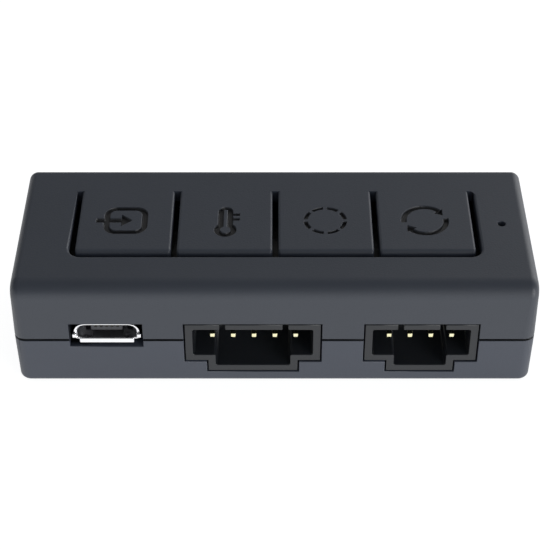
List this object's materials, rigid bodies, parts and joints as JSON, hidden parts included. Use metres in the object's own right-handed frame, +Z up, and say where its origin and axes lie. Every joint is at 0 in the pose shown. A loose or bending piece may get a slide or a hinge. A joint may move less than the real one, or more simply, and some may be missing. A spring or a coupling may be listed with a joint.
{
  "type": "addressable rgb controller",
  "caption": "Small dark plastic controller box with a row of flexing buttons, a micro USB socket and two keyed pin headers in front, and a status light.",
  "frame": {"origin": "middle of the underside", "axes": "+X to the right seen from the socket side, -Y out of the sockets, +Z up out of the buttons"},
  "size_m": [0.0622, 0.0234, 0.0149],
  "materials": {
    "housing_plastic": "fine matt texture",
    "header_plastic": "satin moulded",
    "insulator_plastic": "satin moulded",
    "bright_plate": "bright nickel plate",
    "gold_plate": "gold flash",
    "board_laminate": "black solder mask",
    "chip_resin": "moulded resin",
    "can_metal": "drawn can",
    "plunger_plastic": "smooth",
    "light_resin": "clear resin",
    "capacitor_ceramic": "fired",
    "resistor_ceramic": "fired",
    "screw_steel": "black zinc"
  },
  "bodies": {
    "housing": {"top_cover": "housing_plastic", "bottom_cover": "housing_plastic", "circuit_board": "board_laminate", "usb_shell": "bright_plate", "usb_insulator": "insulator_plastic", "usb_contact_1": "gold_plate", "usb_contact_2": "gold_plate", "usb_contact_3": "gold_plate", "usb_contact_4": "gold_plate", "usb_contact_5": "gold_plate", "five_pin_shroud": "header_plastic", "five_pin_header_pin_1": "gold_plate", "five_pin_header_pin_2": "gold_plate", "five_pin_header_pin_3": "gold_plate", "five_pin_header_pin_4": "gold_plate", "five_pin_header_pin_5": "gold_plate", "four_pin_shroud": "header_plastic", "four_pin_header_pin_1": "gold_plate", "four_pin_header_pin_2": "gold_plate", "four_pin_header_pin_3": "gold_plate", "four_pin_header_pin_4": "gold_plate", "switch_body_1": "can_metal", "switch_body_2": "can_metal", "switch_body_3": "can_metal", "switch_body_4": "can_metal", "status_light": "light_resin", "microcontroller": "chip_resin", "voltage_regulator": "chip_resin", "crystal": "can_metal", "chip_capacitor_1": "capacitor_ceramic", "chip_capacitor_2": "capacitor_ceramic", "chip_capacitor_3": "capacitor_ceramic", "chip_capacitor_4": "capacitor_ceramic", "chip_resistor_1": "resistor_ceramic", "chip_resistor_2": "resistor_ceramic", "chip_resistor_3": "resistor_ceramic", "chip_resistor_4": "resistor_ceramic", "case_screws": "screw_steel"},
    "input_button": {"button_input": "housing_plastic"},
    "input_plunger": {"switch_plunger_1": "plunger_plastic"},
    "thermometer_button": {"button_thermometer": "housing_plastic"},
    "thermometer_plunger": {"switch_plunger_2": "plunger_plastic"},
    "ring_button": {"button_ring": "housing_plastic"},
    "ring_plunger": {"switch_plunger_3": "plunger_plastic"},
    "cycle_button": {"button_cycle": "housing_plastic"},
    "cycle_plunger": {"switch_plunger_4": "plunger_plastic"}
  },
  "joints": [
    {"name": "input_press", "type": "hinge", "parent": "housing", "child": "input_button", "pos_m": [-0.01812, 0.0069, 0.0149], "axis": [1, 0, 0], "range_deg": [0, 2.4], "stiffness_Nm_per_rad": 0.1, "springref_deg": -1.15},
    {"name": "input_click", "type": "slide", "parent": "housing", "child": "input_plunger", "axis": [0, 0, -1], "range_m": [0, 0.00025]},
    {"name": "thermometer_press", "type": "hinge", "parent": "housing", "child": "thermometer_button", "pos_m": [-0.00598, 0.0069, 0.0149], "axis": [1, 0, 0], "range_deg": [0, 2.4], "stiffness_Nm_per_rad": 0.1, "springref_deg": -1.15},
    {"name": "thermometer_click", "type": "slide", "parent": "housing", "child": "thermometer_plunger", "axis": [0, 0, -1], "range_m": [0, 0.00025]},
    {"name": "ring_press", "type": "hinge", "parent": "housing", "child": "ring_button", "pos_m": [0.00617, 0.0069, 0.0149], "axis": [1, 0, 0], "range_deg": [0, 2.4], "stiffness_Nm_per_rad": 0.1, "springref_deg": -1.15},
    {"name": "ring_click", "type": "slide", "parent": "housing", "child": "ring_plunger", "axis": [0, 0, -1], "range_m": [0, 0.00025]},
    {"name": "cycle_press", "type": "hinge", "parent": "housing", "child": "cycle_button", "pos_m": [0.01833, 0.0069, 0.0149], "axis": [1, 0, 0], "range_deg": [0, 2.4], "stiffness_Nm_per_rad": 0.1, "springref_deg": -1.15},
    {"name": "cycle_click", "type": "slide", "parent": "housing", "child": "cycle_plunger", "axis": [0, 0, -1], "range_m": [0, 0.00025]}
  ],
  "couplings": [
    {"joint": "input_click", "follows": "input_press", "m_per_rad": 0.00585},
    {"joint": "thermometer_click", "follows": "thermometer_press", "m_per_rad": 0.00585},
    {"joint": "ring_click", "follows": "ring_press", "m_per_rad": 0.00585},
    {"joint": "cycle_click", "follows": "cycle_press", "m_per_rad": 0.00585}
  ]
}
